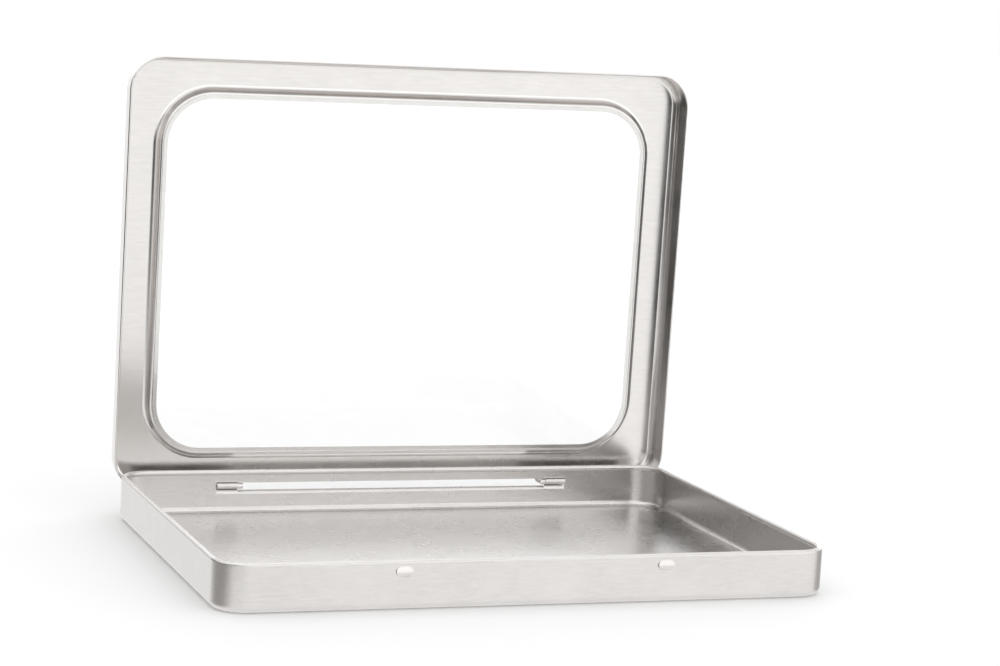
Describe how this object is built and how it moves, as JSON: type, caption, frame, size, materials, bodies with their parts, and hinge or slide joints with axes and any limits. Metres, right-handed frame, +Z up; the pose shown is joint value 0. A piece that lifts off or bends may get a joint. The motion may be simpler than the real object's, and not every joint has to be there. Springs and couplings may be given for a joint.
{
  "type": "tin box",
  "caption": "Shallow rectangular tinplate box standing open, with a clear window in its hinged lid.",
  "frame": {"origin": "middle of the flat underside of the tray", "axes": "+Z up, +X along the box's long side, +Y towards the hinge, so the open lid stands at +Y"},
  "size_m": [0.1924, 0.1465, 0.1498],
  "materials": {
    "tinplate": "satin tinplate",
    "clear_sheet": "clear gloss plastic sheet"
  },
  "bodies": {
    "tray": {"base_tray": "tinplate"},
    "lid": {"window_lid": "tinplate", "window_pane": "clear_sheet"}
  },
  "joints": [
    {"name": "lid_hinge", "type": "hinge", "parent": "tray", "child": "lid", "pos_m": [0, 0.06985, 0.0089], "axis": [1, 0, 0], "range_deg": [0, 88]}
  ]
}
